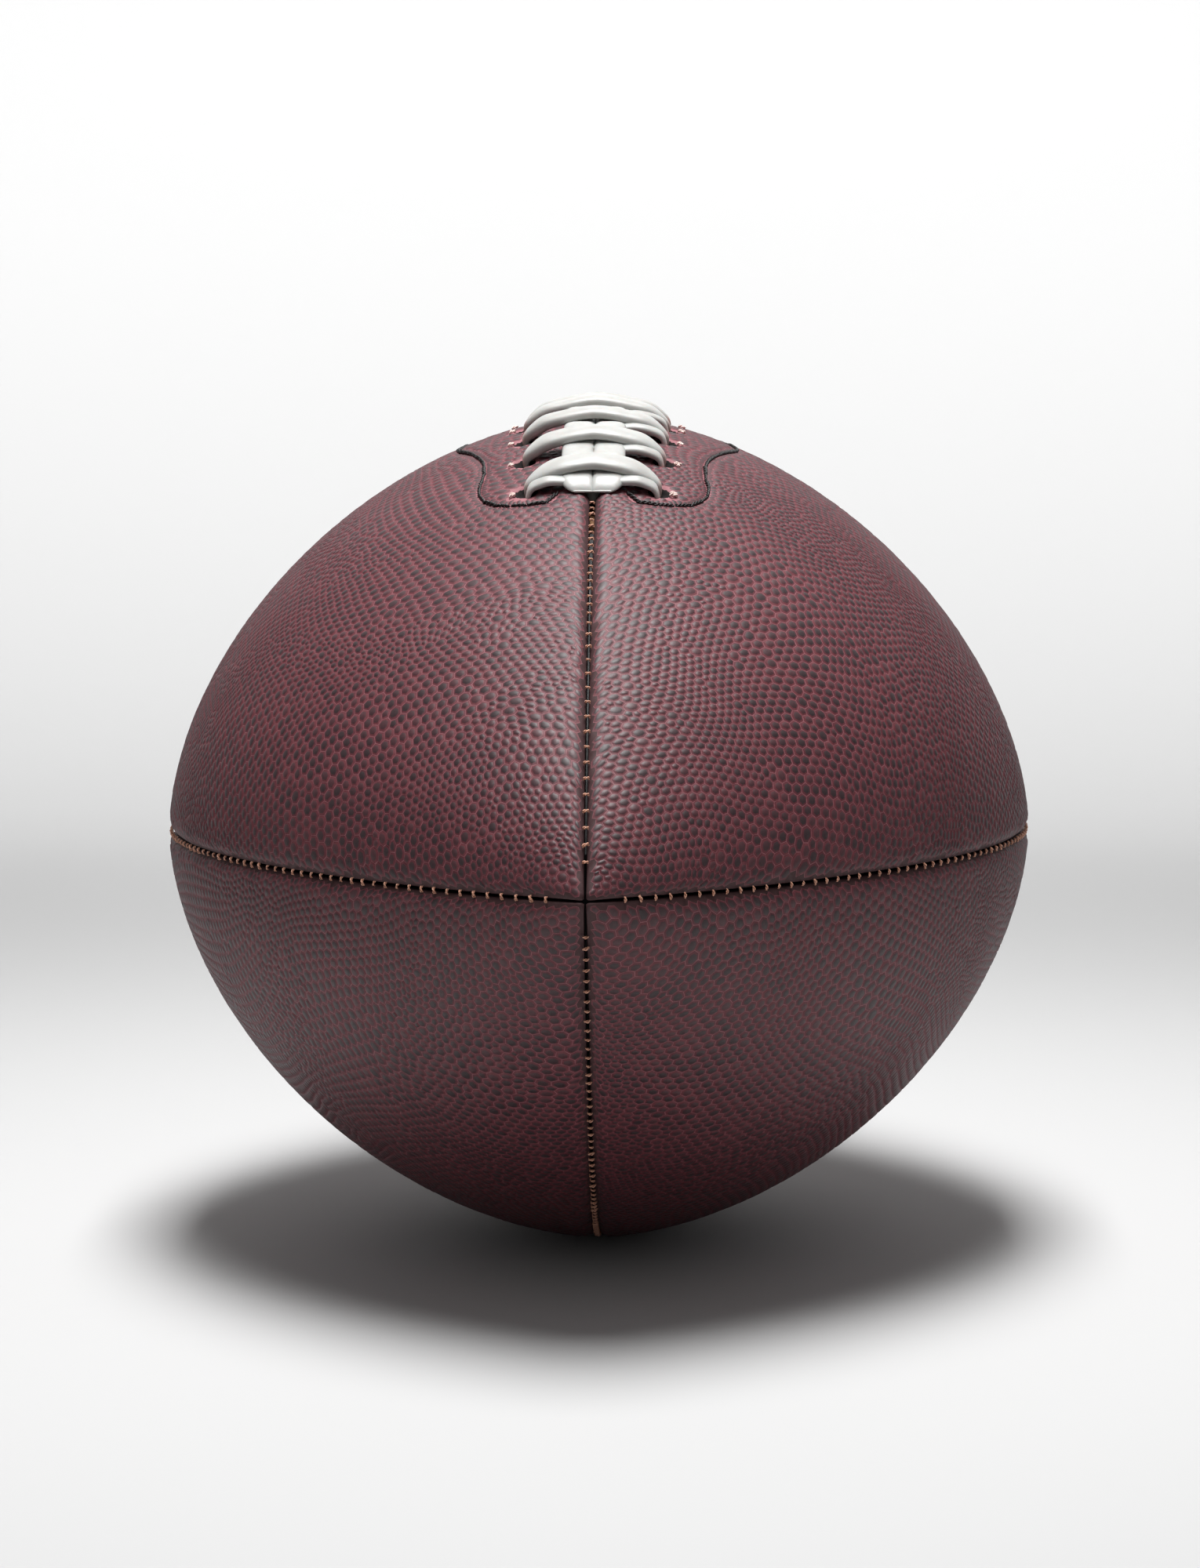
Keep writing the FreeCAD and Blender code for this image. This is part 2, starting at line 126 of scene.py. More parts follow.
def raised(points):
    # from ball-centred points to the frame, where z = 0 is the floor
    return np.asarray(points, float) + np.array([0, 0, ball["centreZ"]])


def ease(t):
    t = np.clip(t, 0, 1)
    return t * t * (3 - 2 * t)


class Wire:
    # a socket that can be added, subtracted and multiplied
    def __init__(self, bench, socket):
        self.bench = bench
        self.socket = socket

    def join(self, operation, a, b):
        made = self.bench.node("ShaderNodeMath", {"operation": operation}, {0: a, 1: b})
        return Wire(self.bench, made.outputs[0])

    def __add__(self, other):
        return self.join("ADD", self, other)

    __radd__ = __add__

    def __sub__(self, other):
        return self.join("SUBTRACT", self, other)

    def __rsub__(self, other):
        return self.join("SUBTRACT", other, self)

    def __mul__(self, other):
        return self.join("MULTIPLY", self, other)

    __rmul__ = __mul__


class Bench:
    # one material being made
    def __init__(self, name, constants):
        self.material = bpy.data.materials.new(name)
        self.material.use_nodes = True
        self.tree = self.material.node_tree
        self.tree.nodes.clear()
        self.shader = self.node("ShaderNodeBsdfPrincipled", {}, constants)
        out = self.node("ShaderNodeOutputMaterial")
        self.tree.links.new(self.shader.outputs[0], out.inputs[0])
        self.spot = Wire(self, self.node("ShaderNodeTexCoord").outputs["Object"])

    def node(self, kind, settings=None, feeds=None):
        made = self.tree.nodes.new(kind)
        for key, value in (settings or {}).items():
            setattr(made, key, value)
        for key, value in (feeds or {}).items():
            target = made.inputs[key]
            if isinstance(value, Wire):
                self.tree.links.new(value.socket, target)
            else:
                target.default_value = value
        return made

    def attribute(self, name):
        return Wire(self, self.node("ShaderNodeAttribute", {"attribute_name": name}).outputs["Fac"])

    def noise(self, scale, detail):
        feeds = {"Vector": self.spot, "Scale": scale, "Detail": detail}
        return Wire(self, self.node("ShaderNodeTexNoise", {}, feeds).outputs["Fac"])

    def waves(self, scale, direction, distortion):
        settings = {"wave_type": "BANDS", "bands_direction": direction}
        feeds = {"Vector": self.spot, "Scale": scale, "Distortion": distortion, "Detail": 2.0}
        return Wire(self, self.node("ShaderNodeTexWave", settings, feeds).outputs["Fac"])

    def between(self, value, low, high):
        # 0 below low, 1 above high, smooth in between
        feeds = {"Value": value, "From Min": low, "From Max": high}
        settings = {"interpolation_type": "SMOOTHSTEP"}
        return Wire(self, self.node("ShaderNodeMapRange", settings, feeds).outputs[0])

    def blend(self, share, a, b):
        settings = {"data_type": "RGBA", "blend_type": "MIX"}
        return Wire(self, self.node("ShaderNodeMix", settings, {0: share, 6: a, 7: b}).outputs[2])

    def feed(self, **sockets):
        # Base_Color stands for the shader's Base Color
        for name, wire in sockets.items():
            self.tree.links.new(wire.socket, self.shader.inputs[name.replace("_", " ")])

    def bump(self, height, distance, strength):
        feeds = {"Height": height, "Distance": distance, "Strength": strength}
        made = self.node("ShaderNodeBump", {}, feeds)
        self.tree.links.new(made.outputs[0], self.shader.inputs["Normal"])


def rgb(r, g, b):
    # 0 to 255 screen values to the linear colour a shader takes
    out = [v / 255 / 12.92 if v <= 10.3 else ((v / 255 + 0.055) / 1.055) ** 2.4 for v in (r, g, b)]
    return (out[0], out[1], out[2], 1.0)


def pebbledLeather():
    look = {
        "crown": rgb(46, 31, 34),
        "crownWarm": rgb(70, 37, 42),
        "shoulder": rgb(84, 32, 41),
        "shoulderWarm": rgb(98, 42, 49),
        "valley": rgb(142, 88, 94),
        # painted shade: the seam colour is the dyed raw edge, darkened to stand for the shade in the seam
        # groove
        "seam": rgb(38, 13, 12),
        # painted shade: near-black stands for the shade inside the lace and valve holes
        "hole": rgb(18, 10, 9),
    }
    # the grain tree leaves these values on the mesh
    b = Bench("pebbledLeather", {"Specular IOR Level": 0.58, "Roughness": 0.45, "IOR": 1.45})
    crown = b.attribute("crown")
    tone = b.attribute("tone")
    seam = b.attribute("seamEdgeShade")
    pit = b.attribute("pit")
    cloud = b.noise(14.0, 4.0)
    fine = b.noise(1400.0, 2.0)
    speck = b.noise(420.0, 3.0)
    top = b.blend(b.between(tone * 0.7 + cloud * 0.5, 0.3, 1.0), look["crown"], look["crownWarm"])
    warm = b.between(tone * 0.5 + speck * 0.6, 0.3, 0.8)
    shoulder = b.blend(warm, look["shoulder"], look["shoulderWarm"])
    height = crown + (fine - 0.5) * 0.25
    skin = b.blend(b.between(height, 0.0, 0.20), look["valley"], shoulder)
    skin = b.blend(b.between(height, 0.72, 1.0), skin, top)
    # painted shade: the skin darkens to the seam colour on the lips and down into the seam groove; only
    # partly the dyed raw edge
    skin = b.blend(b.between(seam, 0.30, 0.95) * 0.9, skin, look["seam"])
    # painted shade: the pits turn near-black for the shade inside the lace and valve holes
    skin = b.blend(b.between(pit, 0.3, 0.9), skin, look["hole"])
    rough = 0.66 - 0.13 * crown + (fine - 0.5) * 0.12 + (cloud - 0.5) * 0.1 + pit * 0.3
    b.feed(Base_Color=skin, Roughness=rough)
    b.bump(fine * 0.5 + speck, 0.00009, 0.5)
    return b.material


def laceVinyl():
    look = {"white": rgb(176, 176, 173), "shade": rgb(162, 160, 156), "dye": rgb(172, 134, 126)}
    b = Bench("laceVinyl", {"Roughness": 0.4, "Specular IOR Level": 0.45, "Subsurface Weight": 0.1,
                            "Subsurface Scale": 0.002})
    worn = b.attribute("worn")
    cloud = b.noise(260.0, 4.0)
    fine = b.noise(1800.0, 3.0)
    skin = b.blend(b.between(cloud, 0.4, 0.7) * 0.6, look["white"], look["shade"])
    skin = b.blend(b.between(worn + (cloud - 0.5) * 0.8, 0.55, 1.1) * 0.8, skin, look["dye"])
    b.feed(Base_Color=skin, Roughness=0.36 + (cloud - 0.4) * 0.25)
    b.bump(cloud * 0.8 + fine * 0.3, 0.00012, 0.5)
    return b.material


def twistedThread(name, light, dark, rough):
    b = Bench(name, {"Roughness": rough, "Specular IOR Level": 0.5})
    fibre = b.waves(1900.0, "DIAGONAL", 3.0)
    fuzz = b.noise(2600.0, 3.0)
    skin = b.blend(b.between(fibre * 0.5 + fuzz, 0.4, 1.1), dark, light)
    b.feed(Base_Color=skin, Roughness=rough + (fuzz - 0.5) * 0.2)
    b.bump(fibre + fuzz * 0.6, 0.00005, 0.6)
    return b.material


def wovenCotton():
    b = Bench("wovenCotton", {"Roughness": 0.9, "Specular IOR Level": 0.2})
    warp = b.waves(700.0, "X", 0.4)
    weft = b.waves(700.0, "Y", 0.4)
    fuzz = b.noise(900.0, 3.0)
    cross = warp * weft
    skin = b.blend(b.between(cross + fuzz * 0.4, 0.1, 0.8), rgb(150, 140, 122), rgb(206, 198, 180))
    b.feed(Base_Color=skin, Roughness=0.82 + fuzz * 0.15)
    b.bump(cross + fuzz * 0.3, 0.00015, 0.8)
    return b.material


def splitLeather():
    b = Bench("splitLeather", {"Roughness": 0.7, "Specular IOR Level": 0.3})
    cloud = b.noise(60.0, 5.0)
    nap = b.noise(1500.0, 4.0)
    skin = b.blend(b.between(cloud, 0.3, 0.7), rgb(112, 78, 52), rgb(146, 106, 74))
    skin = b.blend(b.between(nap, 0.4, 0.7) * 0.4, skin, rgb(90, 60, 40))
    b.feed(Base_Color=skin, Roughness=0.62 + nap * 0.25)
    b.bump(nap + cloud * 0.4, 0.0001, 0.7)
    return b.material


def bladderRubber(name, dark, light):
    b = Bench(name, {"Roughness": 0.55, "Specular IOR Level": 0.4})
    cloud = b.noise(40.0, 4.0)
    fine = b.noise(900.0, 3.0)
    skin = b.blend(b.between(cloud, 0.3, 0.7), dark, light)
    b.feed(Base_Color=skin, Roughness=0.46 + cloud * 0.18 + (fine - 0.5) * 0.1)
    b.bump(fine + cloud * 0.5, 0.00006, 0.6)
    return b.material


finish = {
    "leather": pebbledLeather(),
    "lace": laceVinyl(),
    "seam_thread": twistedThread("tanThread", rgb(220, 168, 142), rgb(160, 102, 78), 0.36),
    "black_thread": twistedThread("blackThread", rgb(30, 27, 28), rgb(10, 9, 9), 0.5),
    "white_thread": twistedThread("paleThread", rgb(244, 226, 220), rgb(206, 172, 162), 0.5),
    "lining": wovenCotton(),
    "facing": splitLeather(),
    "bladder": bladderRubber("bladderRubber", rgb(28, 27, 28), rgb(48, 46, 47)),
    "valve": bladderRubber("valveRubber", rgb(36, 33, 33), rgb(58, 54, 53)),
}
slots = {row["node"]: row["material_slot"] for row in frame["record"]["subparts"]}
for node, obj in frame["nodes"].items():
    obj.data.materials.clear()
    obj.data.materials.append(finish[slots[node]])
print("materials made:", len(finish))


def meshObject(name, points, faces, slot, attributes=None, smooth=True):
    mesh = bpy.data.meshes.new(name)
    mesh.from_pydata([tuple(p) for p in points], [], faces)
    for key, values in (attributes or {}).items():
        mesh.attributes.new(key, "FLOAT", "POINT").data.foreach_set("value", np.asarray(values, np.float32))
    mesh.update()
    obj = bpy.data.objects.new(name, mesh)
    bpy.context.scene.collection.objects.link(obj)
    obj.data.materials.append(finish[slot])
    if smooth:
        mesh.polygons.foreach_set("use_smooth", [True] * len(mesh.polygons))
    return obj


def turnOutward(obj):
    bm = bmesh.new()
    bm.from_mesh(obj.data)
    bmesh.ops.recalc_face_normals(bm, faces=bm.faces)
    bm.to_mesh(obj.data)
    bm.free()


def keep(obj, replaced):
    # the piece is finished: it rides on the ball and stands in for a CAD node
    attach(obj, "root")
    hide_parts(replaced)
    return obj


class Tree:
    # one Geometry Nodes tree being made
    def __init__(self, name, inputs):
        self.group = bpy.data.node_groups.new(name, "GeometryNodeTree")
        self.group.interface.new_socket("Geometry", in_out="INPUT", socket_type="NodeSocketGeometry")
        self.group.interface.new_socket("Geometry", in_out="OUTPUT", socket_type="NodeSocketGeometry")
        for label, (kind, value) in inputs.items():
            made = self.group.interface.new_socket(label, in_out="INPUT", socket_type=kind)
            made.default_value = value
        self.start = self.node("NodeGroupInput")
        self.end = self.node("NodeGroupOutput")

    def node(self, kind, settings=None, feeds=None):
        made = self.group.nodes.new(kind)
        for key, value in (settings or {}).items():
            setattr(made, key, value)
        for key, value in (feeds or {}).items():
            target = made.inputs[key]
            if isinstance(value, bpy.types.NodeSocket):
                self.group.links.new(value, target)
            else:
                target.default_value = value
        return made

    def finishWith(self, geometry, material):
        real = self.node("GeometryNodeRealizeInstances", {}, {0: geometry})
        painted = self.node("GeometryNodeSetMaterial", {}, {0: real.outputs[0], "Material": material})
        self.group.links.new(painted.outputs[0], self.end.inputs[0])


def grow(obj, tree, values):
    # runs a tree on an object and leaves a plain mesh
    modifier = obj.modifiers.new("grow", "NODES")
    modifier.node_group = tree.group
    for item in tree.group.interface.items_tree:
        if item.item_type == "SOCKET" and item.in_out == "INPUT" and item.name in values:
            modifier[item.identifier] = values[item.name]
    graph = bpy.context.evaluated_depsgraph_get()
    mesh = bpy.data.meshes.new_from_object(obj.evaluated_get(graph), depsgraph=graph)
    obj.modifiers.remove(modifier)
    obj.data = mesh
    return obj


panelGrain = {
    "pitch": 0.00206,
    "pebbleHeight": 0.00028,
    "crownSize": 0.60,
    "unevenness": 0.30,
    "lipTurn": 68,
    "rowShare": 0.866,
    "scatter": 0.14,
    "flow": ((0.110, 0.0042), (0.062, 0.0021), (0.034, 0.0009)),  # wavelength and drift
    "edgeMargin": 0.48,
    "relaxShare": 0.45,
    "relaxRounds": 2,
    "edgeStep": 0.0021,
    "fadeToSeam": 0.0030,
    # how far the painted seam shade reaches onto the pebbled skin
    "shadeToSeam": 0.0022,
    "channelStep": 0.0011,
    "channelHalf": 0.00085,
    "channelClear": 0.0019,
    "grooveDepth": 0.00042,
    "valveRadius": 0.00292,
    "pitRim": 0.0003,
    "pitWall": 0.0005,
    "pitDepth": 0.0016,
    "pitClear": 0.0014,
    "innerStep": 0.009,
    "innerMargin": 0.004,
}


def grainTree():
    # each cell of the mesh becomes a raised pebble with a smaller top
    t = Tree("pebbleGrain", {
        "Pebble height": ("NodeSocketFloat", 0.0003),
        "Crown size": ("NodeSocketFloat", 0.7),
        "Unevenness": ("NodeSocketFloat", 0.3),
        "Seed": ("NodeSocketInt", 1),
    })
    cells = t.node("GeometryNodeDualMesh", {}, {0: t.start.outputs["Geometry"], "Keep Boundaries": False})
    tone = t.node("FunctionNodeRandomValue", {"data_type": "FLOAT"}, {"Seed": t.start.outputs["Seed"]})
    toned = t.node("GeometryNodeStoreNamedAttribute", {"data_type": "FLOAT", "domain": "FACE"},
                   {0: cells.outputs[0], "Name": "tone", "Value": tone.outputs[1]})
    mask = t.node("GeometryNodeInputNamedAttribute", {"data_type": "FLOAT"}, {"Name": "pebble"})
    isPebble = t.node("FunctionNodeCompare", {"data_type": "FLOAT", "operation": "GREATER_THAN"},
                      {0: mask.outputs[0], 1: 0.06})
    less = t.node("FunctionNodeRandomValue", {"data_type": "FLOAT"}, {"Seed": t.start.outputs["Seed"]})
    low = t.node("ShaderNodeMath", {"operation": "SUBTRACT"}, {0: 1.0, 1: t.start.outputs["Unevenness"]})
    t.group.links.new(low.outputs[0], less.inputs[2])
    less.inputs[3].default_value = 1.0
    size = t.node("ShaderNodeMath", {"operation": "MULTIPLY"}, {0: mask.outputs[0], 1: less.outputs[1]})
    rise = t.node("ShaderNodeMath", {"operation": "MULTIPLY"},
                  {0: size.outputs[0], 1: t.start.outputs["Pebble height"]})
    push = t.node("GeometryNodeExtrudeMesh", {"mode": "FACES"},
                  {"Mesh": toned.outputs[0], "Selection": isPebble.outputs[0],
                   "Offset Scale": rise.outputs[0], "Individual": True})
    draw = t.node("GeometryNodeScaleElements", {"domain": "FACE"},
                  {0: push.outputs["Mesh"], "Selection": push.outputs["Top"],
                   "Scale": t.start.outputs["Crown size"]})
    crown = t.node("GeometryNodeStoreNamedAttribute", {"data_type": "FLOAT", "domain": "POINT"},
                   {0: draw.outputs[0], "Name": "crown", "Value": push.outputs["Top"]})
    smooth = t.node("GeometryNodeSetShadeSmooth", {}, {0: crown.outputs[0], "Shade Smooth": True})
    t.finishWith(smooth.outputs[0], finish["leather"])
    return t


# Tables that lay a panel flat: u runs nose to nose, v from the top seam to the side seam
turnTable = np.linspace(0, math.pi / 2, 600)
power = ball["sectionPower"]
radiusTable = (np.cos(turnTable) ** power + np.sin(turnTable) ** power) ** (-1 / power)
sectionX = ball["sideRadius"] * radiusTable * np.sin(turnTable)
sectionZ = ball["topRadius"] * radiusTable * np.cos(turnTable)
sectionArc = np.concatenate([[0], np.cumsum(np.hypot(np.diff(sectionX), np.diff(sectionZ)))])
fullArc = sectionArc[-1]
lastY = ball["halfLength"] - ball["tipTrim"]
yTable = lastY * np.sin(np.linspace(-math.pi / 2, math.pi / 2, 4001))
ridge = 0.0836  # mean radius that the nose-to-nose arc is measured at
stepU = np.hypot(np.diff(yTable), ridge * np.diff(swell(yTable)))
uTable = np.concatenate([[0], np.cumsum(stepU)])
uTable = uTable - 0.5 * uTable[-1]


def toFlat(x, y):
    # a point near the top seam to the flat pattern
    f = swell(y)
    arc = np.interp(np.abs(x) / f, sectionX, sectionArc)
    return np.interp(y, yTable, uTable), f * (arc - 0.5 * fullArc)


def rollAt(y):
    return np.minimum(ball["seamRoll"], 0.30 * ball["topRadius"] * swell(y))


def gapAt(y, laced):
    # half the gap at the top seam: it opens under the laces
    if not laced:
        return np.full(np.shape(y), ball["lipGap"])
    past = np.abs(y - laces["centre"]) - (laces["half"] + laces["slitPast"])
    wide = ball["lipGap"] + laces["flare"] * ease(1 - past / laces["flareLength"])
    return wide + (laces["slitHalfWidth"] - wide) * ease(0.5 - past / laces["slitEnd"])


def outlineMarks():
    # half of the black stitching's outline, from the slit round to the middle of the laces
    h = laces["half"]
    return [(0.0070, h + 0.0030), (0.0084, h + 0.0056), (0.0136, h + 0.0048), (0.0196, h + 0.0010),
            (0.0228, h - 0.0062), (0.0222, h - 0.0150), (0.0226, h - 0.0240), (0.0252, h - 0.0350),
            (0.0280, h - 0.0450), (0.0290, 0.0)]


def smoothLine(marks, step):
    # Catmull-Rom curve through marks, sampled evenly along the first two columns
    m = np.array(marks, float)
    m = np.vstack([2 * m[0] - m[1], m, 2 * m[-1] - m[-2]])
    out = []
    for i in range(1, len(m) - 2):
        for t in np.linspace(0, 1, 24, endpoint=False):
            out.append(0.5 * (2 * m[i] + (m[i + 1] - m[i - 1]) * t
                              + (2 * m[i - 1] - 5 * m[i] + 4 * m[i + 1] - m[i + 2]) * t ** 2
                              + (3 * m[i] - m[i - 1] - 3 * m[i + 1] + m[i + 2]) * t ** 3))
    out.append(m[-2])
    out = np.array(out)
    run = np.concatenate([[0], np.cumsum(np.linalg.norm(np.diff(out[:, :2], axis=0), axis=1))])
    count = max(2, int(round(run[-1] / step)) + 1)
    at = np.linspace(0, run[-1], count)
    return np.stack([np.interp(at, run, out[:, k]) for k in range(out.shape[1])], -1)


def outlineLine(step):
    # the whole outline on the +X side, as (x, y)
    half = outlineMarks()
    marks = [(x, laces["centre"] - t) for x, t in half]
    marks += [(x, laces["centre"] + t) for x, t in half[-2::-1]]
    return smoothLine(marks, step)


def lens(y, laced):
    # half-widths of the skin in the flat pattern, at the top seam and at the side seam
    f = swell(y)
    top = 0.5 * fullArc * f - (gapAt(y, laced) + rollAt(y))
    side = 0.5 * fullArc * f - (ball["lipGap"] + rollAt(y))
    return top, side


def fromFlat(u, v, laced):
    # flat pattern to the quarter skin, x and z positive, and on round the lips beside the seams
    y = np.interp(u, uTable, yTable)
    f = swell(y)
    top, side = lens(y, laced)
    arc = np.clip(0.5 * fullArc + np.clip(v, -top, side) / f, 0, fullArc)
    x = f * np.interp(arc, sectionArc, sectionX)
    z = f * np.interp(arc, sectionArc, sectionZ)
    p = np.stack([x, y, z], -1)
    n = skinNormal(p)
    roll = rollAt(y)
    for past, gap, up, out in ((-v - top, gapAt(y, laced), 2, 0), (v - side, gapAt(y, False), 0, 2)):
        on = past > 0
        turn = past[on] / roll[on]
        lateral = gap[on] + roll[on] * (1 - np.sin(turn))
        a = (ball["sideRadius"] if up == 2 else ball["topRadius"]) * f[on]
        b = (ball["topRadius"] if up == 2 else ball["sideRadius"]) * f[on]
        p[on, out] = lateral
        p[on, up] = over(lateral, a, b) - roll[on] * (1 - np.cos(turn))
        n[on] *= np.cos(turn)[:, None]
        n[on, out] -= np.sin(turn)
    return p, n


def triangles(points, loop=None):
    # joins points into triangles, inside the loop where one is given
    faces = [loop] if loop else []
    out = delaunay_2d_cdt([Vector(q) for q in points], [], faces, 1 if loop else 0, 1e-9, False)
    return np.array(out[2])


class Dips:
    # points added to a flat pattern where the skin dips, for holes and sunk stitching
    def __init__(self, laced, valve):
        self.rows = []
        self.clear = []  # spots that pebbles keep away from, and how far
        if laced:
            self.channel()
            for y in laceRows:
                self.hole(holeHalf(y), y, laces["holeRadius"])
        if valve:
            self.hole(ball["sideRadius"] * 0.5 ** (1 / power), 0.0, panelGrain["valveRadius"])
        self.rows = np.array(self.rows).reshape(-1, 5)

    def add(self, u, v, depth, pit, groove):
        self.rows.append((float(u), float(v), depth, pit, groove))

    def hole(self, x, y, radius):
        # a pit with steep walls
        u0, v0 = toFlat(x, y)
        deep = panelGrain["pitDepth"]
        for r, count, depth, pit in ((radius + panelGrain["pitRim"], 14, 0.0, 0.2),
                                     (radius, 14, panelGrain["pitWall"], 1.0),
                                     (0.80 * radius, 10, deep, 1.0)):
            for k in range(count):
                a = 2 * math.pi * k / count
                self.add(u0 + r * math.cos(a), v0 + r * math.sin(a), depth, pit, 1.0)
        self.add(u0, v0, deep, 1.0, 1.0)
        self.clear.append((np.array([[u0, v0]]), radius + panelGrain["pitClear"]))

    def channel(self):
        # the shallow channel that the black stitching lies in
        line = outlineLine(panelGrain["channelStep"])
        along = np.gradient(line, axis=0)
        along /= np.linalg.norm(along, axis=1, keepdims=True)
        across = np.stack([-along[:, 1], along[:, 0]], -1)
        half = panelGrain["channelHalf"]
        for shift, depth, groove in ((-half, 0.00010, 0.6), (0.0, panelGrain["grooveDepth"], 1.0),
                                     (half, 0.00010, 0.6)):
            row = line + across * shift
            for u, v in zip(*toFlat(row[:, 0], row[:, 1])):
                self.add(u, v, depth, 0.0, groove)
        u, v = toFlat(line[:, 0], line[:, 1])
        self.clear.append((np.stack([u, v], -1), panelGrain["channelClear"]))


def scatterPebbles(rng, laced, clear, lip):
    # a turned, bent and shaken lattice of pebble middles, cut to the panel
    pitch = panelGrain["pitch"]
    rowShare = panelGrain["rowShare"]
    reachU = uTable[-1] + 0.01
    lattice = []
    for j in range(int(2 * reachU / (pitch * rowShare)) + 1):
        for i in range(int(2 * reachU / pitch)):
            lattice.append((i * pitch + 0.5 * pitch * (j % 2) - reachU, j * pitch * rowShare - reachU))
    p = np.array(lattice)
    turn = rng.uniform(0, math.pi)
    p = p @ np.array([[math.cos(turn), -math.sin(turn)], [math.sin(turn), math.cos(turn)]])
    drift = np.zeros_like(p)
    for wave, strength in panelGrain["flow"]:
        for k in range(2):
            a = rng.uniform(0, 2 * math.pi)
            phase = rng.uniform(0, 2 * math.pi)
            heading = np.array([math.cos(a), math.sin(a)])
            drift[:, k] += strength * np.sin(2 * math.pi * (p @ heading) / wave + phase)
    p = p + drift + rng.normal(0, panelGrain["scatter"] * pitch, p.shape)
    y = np.interp(p[:, 0], uTable, yTable)
    top, side = lens(y, laced)
    margin = panelGrain["edgeMargin"] * pitch
    reach = lip * rollAt(y) - margin
    inside = (p[:, 1] > -top - reach) & (p[:, 1] < side + reach) & (np.abs(p[:, 0]) < uTable[-1] - margin)
    p = p[inside]
    for spots, away in clear:
        free = np.ones(len(p), bool)
        for start in range(0, len(spots), 64):
            gap = np.linalg.norm(p[:, None, :] - spots[None, start:start + 64, :], axis=2)
            free &= gap.min(1) > away
        p = p[free]
    return p


def relax(points, fixed):
    # moves each loose point towards the middle of its neighbours
    loose = len(points)
    whole = np.vstack([points, fixed])
    for _ in range(panelGrain["relaxRounds"]):
        tris = triangles(whole)
        total = np.zeros_like(whole)
        count = np.zeros(len(whole))
        for a, b in ((0, 1), (1, 2), (2, 0), (1, 0), (2, 1), (0, 2)):
            np.add.at(total, tris[:, a], whole[tris[:, b]])
            np.add.at(count, tris[:, a], 1)
        middle = total / np.maximum(count, 1)[:, None]
        whole[:loose] += panelGrain["relaxShare"] * (middle[:loose] - whole[:loose])
    return whole[:loose]


def inwardScale(y, depth):
    # share that draws the skin in by depth, easing off towards the noses
    f = swell(y)
    steep = np.sqrt(1 + (ball["topRadius"] * swellSlope(y)) ** 2)
    raw = 1 - depth * steep / (ball["topRadius"] * f)
    return 0.5 * (raw + 0.25 + np.sqrt((raw - 0.25) ** 2 + 0.0006))


def seamBack(y):
    # how far the turned-in leather reaches back from the seam
    return ball["seamBack"] * np.minimum(1, ball["topRadius"] * swell(y) / ball["seamBackFrom"])


class Sheet:
    # points and faces of a panel, with the values that its grain and leather read
    def __init__(self, points, pebble, near, pit, faces):
        self.points = [tuple(q) for q in points]
        self.faces = [tuple(f) for f in faces]
        self.pebble = list(pebble)
        self.near = list(near)
        self.pit = list(pit)

    def addRow(self, points):
        start = len(self.points)
        self.points.extend(tuple(q) for q in points)
        self.pebble.extend([0.0] * len(points))
        # rows round the lips and into the seam take the full painted seam shade
        self.near.extend([1.0] * len(points))
        self.pit.extend([0.0] * len(points))
        return list(range(start, start + len(points)))


def outerSkin(rng, laced, valve, edgeU, edgeY, border):
    # the pebbled face of a quarter of the ball, out to the lips beside its seams
    count = len(edgeU)
    halfU = uTable[-1]
    lip = math.radians(panelGrain["lipTurn"])
    top, side = lens(edgeY, laced)
    top = top + lip * rollAt(edgeY)
    side = side + lip * rollAt(edgeY)
    dips = Dips(laced, valve)
    edge = np.concatenate([np.stack([edgeU, -top], -1), np.stack([edgeU, side], -1)])
    loose = scatterPebbles(rng, laced, dips.clear, lip)
    loose = relax(loose, np.vstack([edge, dips.rows[:, :2]]))
    flat = np.vstack([edge, loose, dips.rows[:, :2]])
    skin, out = fromFlat(flat[:, 0], flat[:, 1], laced)
    toEdge = np.where(flat[:, 1] < 0, np.interp(flat[:, 0], edgeU, top) + flat[:, 1],
                      np.interp(flat[:, 0], edgeU, side) - flat[:, 1])
    toSeam = np.minimum(toEdge, halfU - np.abs(flat[:, 0]))
    first = 2 * count + len(loose)
    pebble = 0.35 + 0.65 * ease(toSeam / panelGrain["fadeToSeam"])
    pebble[:2 * count] = 0.0
    depth = panelGrain["pebbleHeight"] * pebble
    pebble[first:] *= 1 - dips.rows[:, 4]
    depth[first:] = panelGrain["pebbleHeight"] * 0.8 + dips.rows[:, 2]
    # pit marks where the holes dip, which the leather paints near-black as shade
    pit = np.zeros(len(flat))
    pit[first:] = dips.rows[:, 3]
    # painted shade that deepens towards the seams; the edge rows take it in full
    near = 1 - ease(toSeam / panelGrain["shadeToSeam"])
    near[:2 * count] = 1.0
    return Sheet(skin - out * depth[:, None], pebble, near, pit, triangles(flat, border))


